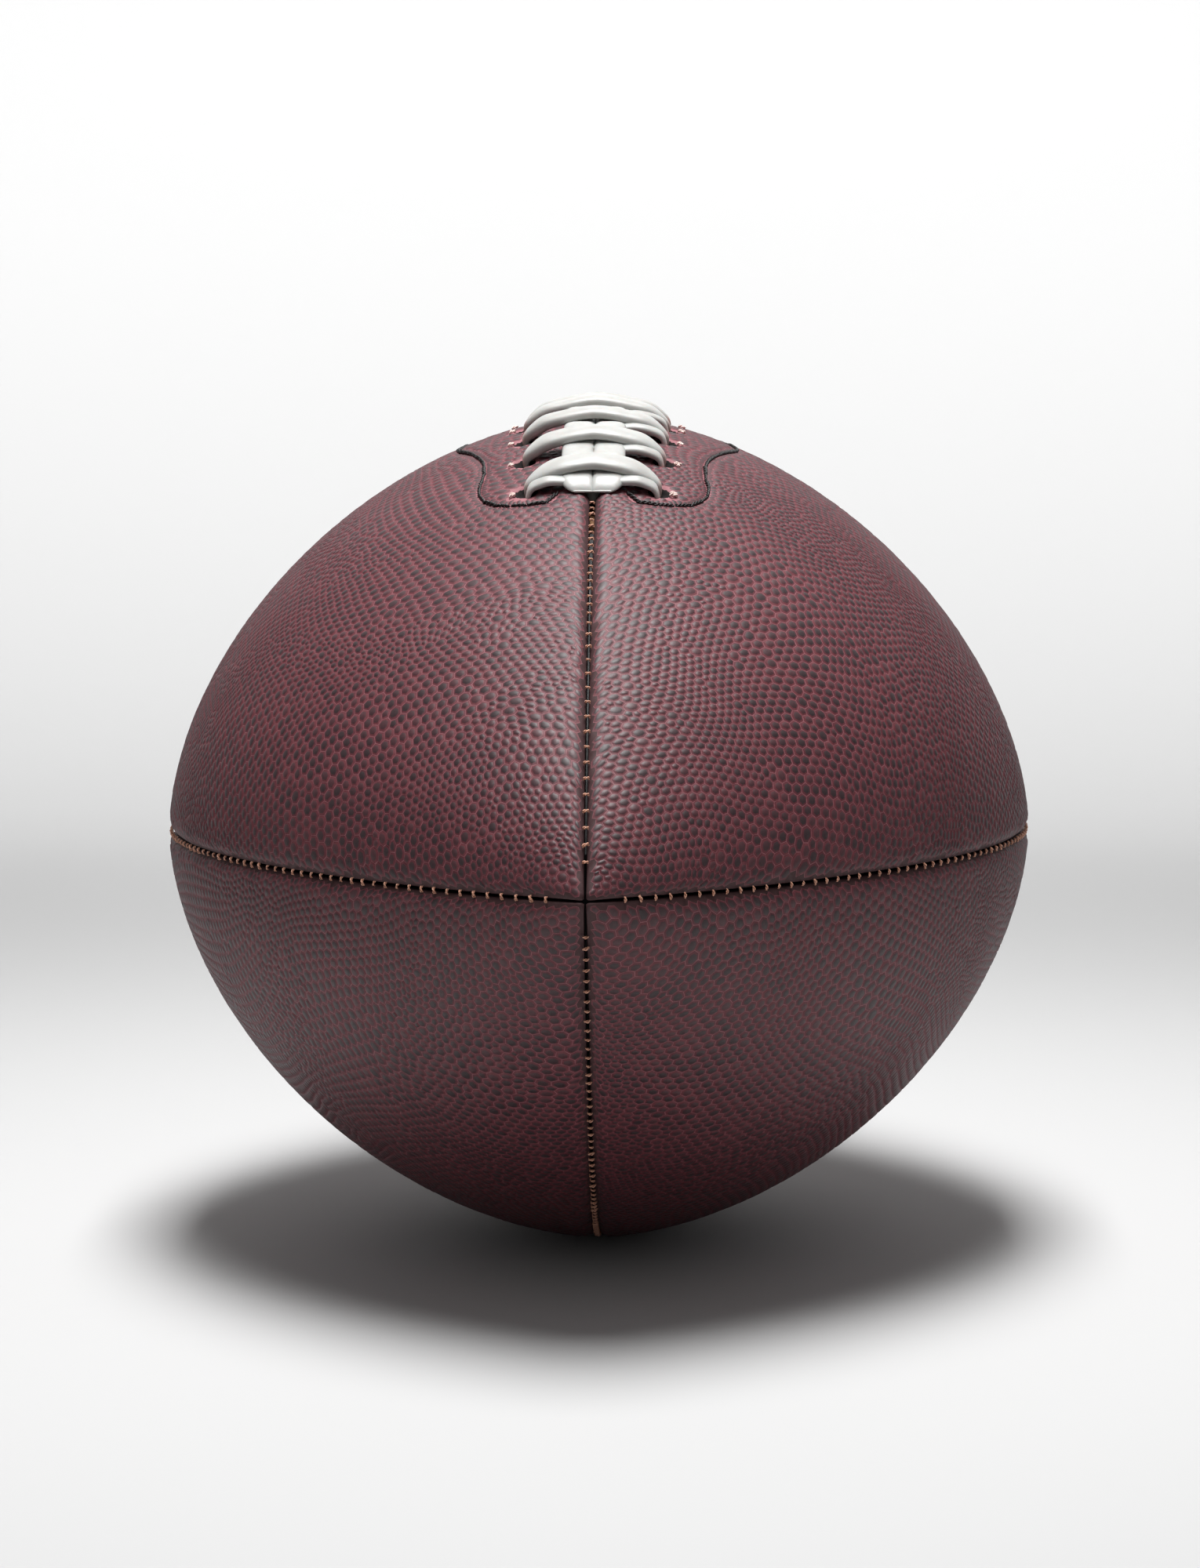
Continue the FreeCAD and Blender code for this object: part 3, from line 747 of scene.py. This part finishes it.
def seamFlange(sheet, base, seam, laced, edgeY):
    # carries the edge on round its lip, down into the seam and back under the skin
    f = swell(edgeY)
    roll = rollAt(edgeY)
    a, b = ball["sideRadius"] * f, ball["topRadius"] * f
    if seam == "side":
        a, b = b, a
    gap = gapAt(edgeY, laced and seam == "top")

    def place(lateral, height):
        if seam == "top":
            return np.stack([lateral, edgeY, height], -1)
        return np.stack([height, edgeY, lateral], -1)

    strips = [base]
    for deg in (14, 0):
        lateral = gap + roll * (1 - math.cos(math.radians(deg)))
        drop = roll * (1 - math.sin(math.radians(deg)))
        strips.append(sheet.addRow(place(lateral, over(lateral, a, b) - drop)))
    scale = inwardScale(edgeY, ball["seamTurn"])
    deep = np.minimum(over(gap, a, b) * scale, over(gap, a, b) - roll - 0.00005 * f)
    tight = gap - ball["lipGap"] + ball["flangeGap"]
    strips.append(sheet.addRow(place(tight, np.maximum(deep, 0.25 * b))))
    wide = gap + seamBack(edgeY)
    scale = inwardScale(edgeY, ball["leather"])
    strips.append(sheet.addRow(place(gap + scale * (wide - gap), scale * over(wide, a, b))))
    for one, two in zip(strips, strips[1:]):
        for i in range(len(base) - 1):
            sheet.faces.append((one[i], one[i + 1], two[i + 1], two[i]))
    return strips


def innerSkin(sheet, innerRows, edgeU, edgeY, border):
    # the panel's inside: a coarse sheet between the two inner rows
    half = 0.5 * fullArc * swell(edgeY) - (ball["lipGap"] + seamBack(edgeY))
    flat = [(u, -w) for u, w in zip(edgeU, half)] + [(u, w) for u, w in zip(edgeU, half)]
    step = panelGrain["innerStep"]
    grid = [(u, v) for u in np.arange(-0.15, 0.151, step) for v in np.arange(-0.06, 0.061, step)]
    grid = [(u, v) for u, v in grid if abs(v) < np.interp(u, edgeU, half) - panelGrain["innerMargin"]]
    inner = fromFlat(np.array([g[0] for g in grid]), np.array([g[1] for g in grid]), False)[0]
    shrink = inwardScale(inner[:, 1], ball["leather"])[:, None] * np.array([1, 0, 1]) + np.array([0, 1, 0])
    index = innerRows + sheet.addRow(inner * shrink)
    for tri in triangles(flat + grid, border):
        sheet.faces.append(tuple(index[k] for k in reversed(tri)))


def panel(name, tree, seed, replaced, flipX=False, flipZ=False, laced=False, valve=False):
    rng = np.random.default_rng(seed)
    halfU = uTable[-1]
    count = int(2 * halfU / panelGrain["edgeStep"])
    edgeU = np.linspace(-halfU, halfU, count)
    edgeY = np.interp(edgeU, uTable, yTable)
    border = list(range(count)) + list(range(2 * count - 1, count - 1, -1))
    sheet = outerSkin(rng, laced, valve, edgeU, edgeY, border)
    topStrips = seamFlange(sheet, list(range(count)), "top", laced, edgeY)
    sideStrips = seamFlange(sheet, list(range(count, 2 * count)), "side", laced, edgeY)
    innerSkin(sheet, topStrips[-1] + sideStrips[-1], edgeU, edgeY, border)
    for end in (0, -1):
        loop = [row[end] for row in topStrips] + [row[end] for row in reversed(sideStrips)]
        sheet.faces.append(tuple(loop))
    points = np.array(sheet.points) * np.array([-1 if flipX else 1, 1, -1 if flipZ else 1])
    obj = meshObject(name, raised(points), sheet.faces, "leather",
                     attributes={"pebble": sheet.pebble, "seamEdgeShade": sheet.near, "pit": sheet.pit})
    turnOutward(obj)
    grow(obj, tree, {"Pebble height": panelGrain["pebbleHeight"], "Crown size": panelGrain["crownSize"],
                     "Unevenness": panelGrain["unevenness"], "Seed": seed})
    keep(obj, replaced)
    print(name, "triangles", sum(len(p.vertices) - 2 for p in obj.data.polygons))


pebbleTree = grainTree()
panel("leatherUpperRight", pebbleTree, 11, "panel_upper_right", laced=True)
panel("leatherUpperLeft", pebbleTree, 23, "panel_upper_left", flipX=True, laced=True)
panel("leatherLowerRight", pebbleTree, 37, "panel_lower_right", flipZ=True)
panel("leatherLowerLeft", pebbleTree, 41, "panel_lower_left", flipX=True, flipZ=True, valve=True)
print("leather panels made")


strap = {
    "width": 0.0059,
    "thick": 0.0024,
    "spineThick": 0.0022,
    "spineHalf": 0.0032,
    "spineX": 0.00312,
    "pillow": 0.0046,
    "swellUp": 0.0011,
    "endCurve": 0.0034,
    "setBack": 0.0013,  # each crossbar lies this far back from its holes
    "underShift": 0.0013,
    "pathStep": 0.0006,
    "barLift": 0.0003,
    "spineSeat": 0.00010,
    "slit": 0.00040,
    "slitPlace": 0.0042,
    "slitHalf": 0.0019,
    "dipAtBar": 0.0022,
    "riseFromBar": 0.0038,
    "dyeWidth": 0.0024,
    "dyeFade": 0.0030,
    "sides": 20,
}


def tube(rings):
    # closed tube through rings of points, with flat ends
    count, sides = len(rings), len(rings[0])
    faces = []
    for i in range(count - 1):
        for k in range(sides):
            j = (k + 1) % sides
            faces.append((i * sides + k, i * sides + j, (i + 1) * sides + j, (i + 1) * sides + k))
    faces.append(tuple(range(sides)))
    faces.append(tuple(reversed(range((count - 1) * sides, count * sides))))
    return [tuple(q) for ring in rings for q in ring], faces


def strapTube(path, y, lean):
    # path rows are x, z, lean in degrees, width, thickness and shift along the ball
    line = smoothLine(path, strap["pathStep"])
    along = np.array([0, 1, lean]) / math.hypot(1, lean)
    rings = []
    turns = np.linspace(0, 2 * math.pi, strap["sides"], endpoint=False)
    for x, z, deg, width, thick, shift in line:
        a = math.radians(deg)
        up = np.array([math.sin(a), -lean * math.cos(a), math.cos(a)])
        up /= np.linalg.norm(up)
        across = np.sign(np.cos(turns)) * np.abs(np.cos(turns)) ** 0.75 * width / 2
        high = np.sign(np.sin(turns)) * np.abs(np.sin(turns)) ** 0.80 * thick / 2
        middle = np.array([x, y, z]) + along * shift
        rings.append(middle + np.outer(across, along) + np.outer(high, up))
    return tube(rings)


def joined(parts):
    points, faces = [], []
    for p, f in parts:
        faces += [tuple(k + len(points) for k in face) for face in f]
        points += p
    return points, faces


def topLean(y):
    # rise of the ball's top along its length
    return float(ball["topRadius"] * swellSlope(y))


def crossbar(y):
    half = float(holeHalf(y))
    skin = float(skinZ(half, y))
    under = float(skinZ(strap["spineX"], y)) + strap["spineThick"]
    crown = under + strap["barLift"] + 0.5 * strap["thick"]
    rise = crown - skin
    # x, height over the holes' skin, lean in degrees, width and thickness
    arm = [
        (half - 0.0006, -0.0026, 84, 0.0016, 0.0011),
        (half - 0.0003, -0.0007, 72, 0.0019, 0.0014),
        (half - 0.0007, 0.0006, 56, 0.0030, 0.0020),
        (half - 0.0023, 0.37 * rise, 42, 0.0048, 0.0026),
        (half - 0.0046, 0.64 * rise, 29, 0.0059, 0.0028),
        (0.0062, 0.82 * rise, 18, 0.0062, 0.0026),
        (0.0032, 0.95 * rise, 8, 0.0062, 0.0023),
    ]
    back = strap["setBack"]
    path = [(-x, skin + h, -deg, wide, thick, back) for x, h, deg, wide, thick in arm]
    path.append((0, crown, 0, strap["width"], strap["thick"], back))
    path += [(x, skin + h, deg, wide, thick, back) for x, h, deg, wide, thick in arm[::-1]]
    return strapTube(path, y, topLean(y))


def underStrap(y, side, front):
    # the lace's lower layer, lying on the leather between a hole and the spine
    half = float(holeHalf(y))
    path = []
    for x, lift, deg, wide, thick in ((half - 0.0004, -0.0012, 62, 0.0024, 0.0011),
                                      (half - 0.0011, 0.0009, 34, 0.0034, 0.0014),
                                      (half - 0.0032, 0.0017, 16, 0.0042, 0.0017),
                                      (0.0080, 0.0018, 8, 0.0044, 0.0018),
                                      (0.0048, 0.0012, 3, 0.0040, 0.0016)):
        shift = -strap["underShift"] * front
        path.append((side * x, float(skinZ(x, y)) + lift, side * deg, wide, thick, shift))
    return strapTube(path, y, topLean(y))


def laceBars():
    parts = []
    for i, y in enumerate(laceRows):
        parts.append(crossbar(y))
        front = 1 if y < laces["centre"] else -1
        parts.append(underStrap(y, 1, front))
        if i in (0, len(laceRows) - 1):
            parts.append(underStrap(y, -1, front))
    points, faces = joined(parts)
    p = np.array(points)
    outward = np.abs(p[:, 0]) - (holeHalf(p[:, 1]) - strap["dyeWidth"])
    worn = ease(outward / strap["dyeFade"])
    obj = meshObject("laceBars", raised(p), faces, "lace", attributes={"worn": worn})
    turnOutward(obj)
    return keep(obj, "lace_crossbars")


def spineStrand(side):
    # one of the two strands along the slit: it dips under each crossbar
    first = laceRows[0] - strap["pillow"]
    last = laceRows[-1] + strap["pillow"]
    rings = []
    turns = np.linspace(0, 2 * math.pi, 28, endpoint=False)
    c, s = np.cos(turns), np.sin(turns)
    curve = strap["endCurve"] * (1 - np.cos(np.linspace(0, math.pi / 2, 13)[:-1]))
    middle = np.linspace(first + strap["endCurve"], last - strap["endCurve"], 150)
    for y in np.concatenate([first + curve, middle, last - curve[::-1]]):
        toEnd = min(y - first, last - y)
        end = math.sqrt(max(0.03, 1 - (1 - min(1, toEnd / strap["endCurve"])) ** 2))
        toBar = min(abs(y - row) for row in laceRows)
        rise = float(ease((toBar - strap["dipAtBar"]) / strap["riseFromBar"]))
        between = rise if toEnd > laces["pitch"] * 0.3 else 0.0
        thick = (strap["spineThick"] + strap["swellUp"] * between) * end
        # the two strands part in a short slit on the near side of each bar
        past = min(row - y for row in laceRows if row - y > -0.001) if y < laceRows[-1] else 1.0
        parted = float(ease(1 - abs(past - strap["slitPlace"]) / strap["slitHalf"]))
        notch = strap["slit"] * parted if y > laceRows[0] else 0.0
        outer = max(0.0004, (strap["spineX"] + strap["spineHalf"]) * (0.5 + 0.5 * end) - strap["spineX"])
        inner = strap["spineHalf"] - notch
        wide = np.where(c * side < 0, inner * np.abs(c) ** 0.40, outer * np.abs(c) ** 0.70) * np.sign(c)
        high = 0.5 * thick * (1 + np.sign(s) * np.abs(s) ** 0.78)
        base = float(skinZ(ball["halfGap"] + ball["seamRoll"], y)) + strap["spineSeat"]
        rings.append(np.stack([side * strap["spineX"] + wide, np.full(len(c), y), base + high], -1))
    return tube(rings)


def laceSpine():
    points, faces = joined([spineStrand(-1), spineStrand(1)])
    obj = meshObject("laceSpine", raised(points), faces, "lace", attributes={"worn": np.zeros(len(points))})
    turnOutward(obj)
    return keep(obj, "lace_spine")


laceBars()
laceSpine()
print("laces made")


thread = {
    "seam": {"Length": 0.00105, "Ply radius": 0.00015, "Twists": 0.7, "Arch": 0.00022,
             "Wobble": 0.38, "Seed": 5},
    "black": {"Length": 0.0039, "Ply radius": 0.00020, "Twists": 1.9, "Arch": 0.00014,
              "Wobble": 0.04, "Seed": 7},
    "tack": {"Length": 0.0013, "Ply radius": 0.00017, "Twists": 0.7, "Arch": 0.0002,
             "Wobble": 0.5, "Seed": 9},
    "seamDepth": 0.00068,
    "pitchNose": 0.0036,
    "pitchLace": 0.00235,
    "pitchSide": 0.0032,
    "pitchBottom": 0.0027,
    "blackPitch": 0.0038,
    "blackDepth": 0.00034,
    "noseGap": 0.0035,
    "pitchChange": 0.088,
    "pitchBlend": 0.016,
    "laceClear": 0.0006,
    "tackOut": 0.0026,
    "tackHalf": 0.00035,
    "tackLift": 0.00002,
}


def stitchTree(name, slot):
    # a short two-ply thread at each point, laid along one vector and facing another
    t = Tree(name, {
        "Length": ("NodeSocketFloat", 0.0015),
        "Ply radius": ("NodeSocketFloat", 0.00017),
        "Twists": ("NodeSocketFloat", 0.7),
        "Arch": ("NodeSocketFloat", 0.0002),
        "Wobble": ("NodeSocketFloat", 0.2),
        "Seed": ("NodeSocketInt", 1),
    })
    size = t.start.outputs

    def maths(operation, a, b):
        return t.node("ShaderNodeMath", {"operation": operation}, {0: a, 1: b}).outputs[0]

    spiral = t.node("GeometryNodeCurveSpiral", {}, {
        "Resolution": 9, "Rotations": size["Twists"], "Start Radius": size["Ply radius"],
        "End Radius": size["Ply radius"], "Height": size["Length"]})
    ring = t.node("GeometryNodeCurvePrimitiveCircle", {"mode": "RADIUS"},
                  {"Resolution": 5, "Radius": size["Ply radius"]})
    ply = t.node("GeometryNodeCurveToMesh", {},
                 {"Curve": spiral.outputs[0], "Profile Curve": ring.outputs[0], "Fill Caps": True})
    other = t.node("GeometryNodeTransform", {}, {"Geometry": ply.outputs[0], "Rotation": (0, 0, math.pi)})
    pair = t.node("GeometryNodeJoinGeometry", {}, {0: ply.outputs[0]})
    t.group.links.new(other.outputs[0], pair.inputs[0])
    middle = t.node("ShaderNodeCombineXYZ", {}, {"Z": maths("MULTIPLY", size["Length"], -0.5)})
    centred = t.node("GeometryNodeTransform", {},
                     {"Geometry": pair.outputs[0], "Translation": middle.outputs[0]})
    laid = t.node("GeometryNodeTransform", {},
                  {"Geometry": centred.outputs[0], "Rotation": (0, math.pi / 2, 0)})
    place = t.node("ShaderNodeSeparateXYZ", {}, {0: t.node("GeometryNodeInputPosition").outputs[0]})
    share = maths("DIVIDE", place.outputs[0], maths("MULTIPLY", size["Length"], 0.5))
    lift = maths("MULTIPLY", size["Arch"], maths("SUBTRACT", 1.0, maths("MULTIPLY", share, share)))
    offset = t.node("ShaderNodeCombineXYZ", {}, {"Z": lift})
    arched = t.node("GeometryNodeSetPosition", {},
                    {"Geometry": laid.outputs[0], "Offset": offset.outputs[0]})
    along = t.node("GeometryNodeInputNamedAttribute", {"data_type": "FLOAT_VECTOR"}, {"Name": "along"})
    out = t.node("GeometryNodeInputNamedAttribute", {"data_type": "FLOAT_VECTOR"}, {"Name": "out"})
    first = t.node("FunctionNodeAlignRotationToVector", {"axis": "X"}, {"Vector": along.outputs[0]})
    second = t.node("FunctionNodeAlignRotationToVector", {"axis": "Z", "pivot_axis": "X"},
                    {"Rotation": first.outputs[0], "Vector": out.outputs[0]})
    shake = t.node("FunctionNodeRandomValue", {"data_type": "FLOAT"},
                   {2: maths("MULTIPLY", size["Wobble"], -1.0), 3: size["Wobble"], "Seed": size["Seed"]})
    swing = t.node("ShaderNodeCombineXYZ", {}, {"Z": shake.outputs[1]})
    euler = t.node("FunctionNodeEulerToRotation", {}, {0: swing.outputs[0]})
    turned = t.node("FunctionNodeRotateRotation", {"rotation_space": "LOCAL"},
                    {0: second.outputs[0], 1: euler.outputs[0]})
    growth = t.node("FunctionNodeRandomValue", {"data_type": "FLOAT"},
                    {2: 0.84, 3: 1.2, "Seed": size["Seed"]})
    many = t.node("GeometryNodeInstanceOnPoints", {}, {
        "Points": size["Geometry"], "Instance": arched.outputs[0], "Rotation": turned.outputs[0],
        "Scale": growth.outputs[1]})
    real = t.node("GeometryNodeRealizeInstances", {}, {0: many.outputs[0]})
    smooth = t.node("GeometryNodeSetShadeSmooth", {}, {0: real.outputs[0], "Shade Smooth": True})
    t.finishWith(smooth.outputs[0], finish[slot])
    return t


def stitchRow(name, tree, spots, along, out, slot, values, replaced):
    obj = meshObject(name, raised(spots), [], slot, smooth=False)
    for key, vectors in (("along", along), ("out", out)):
        field = obj.data.attributes.new(key, "FLOAT_VECTOR", "POINT")
        field.data.foreach_set("vector", np.asarray(vectors, np.float32).ravel())
    grow(obj, tree, values)
    return keep(obj, replaced)


def seamYs(which):
    # where a seam's stitches lie, evenly along the skin
    steps = []
    end = ball["halfLength"] - thread["noseGap"]
    y = -end
    while y < end:
        out = abs(y - laces["centre"])
        if which != "top" or out > laces["half"] + strap["pillow"] + thread["laceClear"]:
            steps.append(y)
        share = float(ease((out - thread["pitchChange"]) / thread["pitchBlend"]))
        pitch = {"top": thread["pitchLace"] + (thread["pitchNose"] - thread["pitchLace"]) * share,
                 "bottom": thread["pitchBottom"]}.get(which, thread["pitchSide"])
        y += pitch / math.hypot(1, ball["topRadius"] * float(swellSlope(y)))
    return np.array(steps)


def seamStitches(which, tree):
    y = seamYs(which)
    sign = 1 if which in ("top", "right") else -1
    axis = 2 if which in ("top", "bottom") else 0  # the axis that the seam faces
    radius = ball["topRadius"] if axis == 2 else ball["sideRadius"]
    spots, along, out = np.zeros((3, len(y), 3))
    spots[:, 1] = y
    spots[:, axis] = sign * (radius * swell(y) - thread["seamDepth"])
    along[:, 2 - axis] = 1
    out[:, 1] = -radius * swellSlope(y)
    out[:, axis] = sign
    name = "seamThread" + which.capitalize()
    return stitchRow(name, tree, spots, along, out, "seam_thread", thread["seam"], "seam_thread_" + which)


def outlineStitches(side, tree):
    line = outlineLine(thread["blackPitch"])
    middle = 0.5 * (line[1:] + line[:-1])
    x, y = side * middle[:, 0], middle[:, 1]
    skin = np.stack([x, y, skinZ(x, y)], -1)
    out = skinNormal(skin)
    ends = np.stack([side * line[:, 0], line[:, 1], skinZ(line[:, 0], line[:, 1])], -1)
    along = np.diff(ends, axis=0)
    spots = skin - out * thread["blackDepth"]
    word = "right" if side > 0 else "left"
    return stitchRow("edgeStitch" + word.capitalize(), tree, spots, along, out, "black_thread",
                     thread["black"], "facing_stitch_" + word)


def tackStitches(tree):
    # two small tacks outside each lace hole
    spots, along, out = [], [], []
    for y in laceRows:
        for side in (-1, 1):
            for step in (-thread["tackHalf"], thread["tackHalf"]):
                x = side * (float(holeHalf(y)) + thread["tackOut"])
                at = np.array([x, y + step, float(skinZ(x, y + step))])
                n = skinNormal(at)
                spots.append(at + n * thread["tackLift"])
                along.append(np.cross(n, [0, 1, 0]) + np.array([0, 0.25 * side, 0]))
                out.append(n)
    return stitchRow("laceTacks", tree, spots, along, out, "white_thread", thread["tack"], "lace_tacks")


tanStitch = stitchTree("tanStitch", "seam_thread")
for which in ("top", "bottom", "left", "right"):
    seamStitches(which, tanStitch)
blackStitch = stitchTree("blackStitch", "black_thread")
for side in (-1, 1):
    outlineStitches(side, blackStitch)
tackStitches(stitchTree("paleStitch", "white_thread"))
print("stitches made")


view = {
    "distance": 1.001,
    "turn": -1.035,
    "tilt": 5.732,
    "roll": -0.15,
    "lens": 109.42,
    "sensor": 36,
    "shift": (0.00047, 0.02513),
}


def lookFromFront():
    # as the camera sees it, the ball is rolled about y, turned about z, then tilted about x
    turn, tilt, roll = (math.radians(view[k]) for k in ("turn", "tilt", "roll"))
    seen = Matrix.Rotation(tilt, 3, "X") @ Matrix.Rotation(turn, 3, "Z") @ Matrix.Rotation(roll, 3, "Y")
    right, ahead, up = np.array(seen)
    eye = raised(-view["distance"] * ahead)
    data = bpy.data.cameras.new("viewpoint")
    data.sensor_width = view["sensor"]
    data.lens = view["lens"]
    data.shift_x, data.shift_y = view["shift"]
    camera = bpy.data.objects.new("viewpoint", data)
    bpy.context.scene.collection.objects.link(camera)
    m = Matrix((right, up, -ahead)).transposed().to_4x4()
    m.translation = Vector(eye)
    camera.matrix_world = m
    bpy.context.scene.camera = camera


lookFromFront()

studio = {
    "worldStrength": 0.20,
    "worldColour": (1.0, 1.0, 1.0, 1.0),
    "keyPower": 5.7,
    "keySpread": 96,
    "keySize": (0.28, 0.80),
    "keyPlace": (0.0, -0.06, 1.05),
    "keyAim": (0.0, -0.04, 0.10),
    "backPower": 24.0,
    "backSize": (2.6, 0.5),
    "backPlace": (0.0, 0.72, 1.9),
    "backAim": (0.0, 1.4, 0.75),
    "backSpread": 75,
    "floorColour": rgb(194, 194, 194),
    "floorReach": 3.0,
    "bendStart": 0.8,
    "bendRadius": 0.6,
    "bendFrom": 0.12,
    "wallHeight": 3.0,
}


def softLight(name, which):
    data = bpy.data.lights.new(name, "AREA")
    data.shape = "RECTANGLE"
    data.size, data.size_y = studio[which + "Size"]
    data.energy = studio[which + "Power"]
    data.spread = math.radians(studio[which + "Spread"])
    lamp = bpy.data.objects.new(name, data)
    bpy.context.scene.collection.objects.link(lamp)
    place, aim = Vector(studio[which + "Place"]), Vector(studio[which + "Aim"])
    lamp.location = place
    lamp.rotation_euler = (aim - place).to_track_quat("-Z", "Y").to_euler()


softLight("keyLight", "key")
softLight("backdropLight", "back")
world = bpy.data.worlds.new("studio")
world.use_nodes = True
sky = world.node_tree.nodes["Background"]
sky.inputs[0].default_value = studio["worldColour"]
sky.inputs[1].default_value = studio["worldStrength"]
bpy.context.scene.world = world
bpy.context.scene.view_settings.view_transform = "Standard"


def paleFloor():
    # floor that curves up into a backdrop
    reach, start, radius = studio["floorReach"], studio["bendStart"], studio["bendRadius"]
    rows = [(-reach, 0.0), (start, 0.0)]
    for a in np.linspace(studio["bendFrom"], math.pi / 2, 12):
        rows.append((start + radius * math.sin(a), radius - radius * math.cos(a)))
    rows.append((start + radius, studio["wallHeight"]))
    points = [(x, y, z) for y, z in rows for x in (-reach, reach)]
    faces = [(2 * i, 2 * i + 1, 2 * i + 3, 2 * i + 2) for i in range(len(rows) - 1)]
    mesh = bpy.data.meshes.new("paleFloor")
    mesh.from_pydata(points, [], faces)
    mesh.polygons.foreach_set("use_smooth", [True] * len(faces))
    obj = bpy.data.objects.new("paleFloor", mesh)
    bpy.context.scene.collection.objects.link(obj)
    paint = {"Roughness": 0.9, "Base Color": studio["floorColour"], "Specular IOR Level": 0.1}
    mesh.materials.append(Bench("paleFloor", paint).material)


paleFloor()
print("camera, light and floor made")
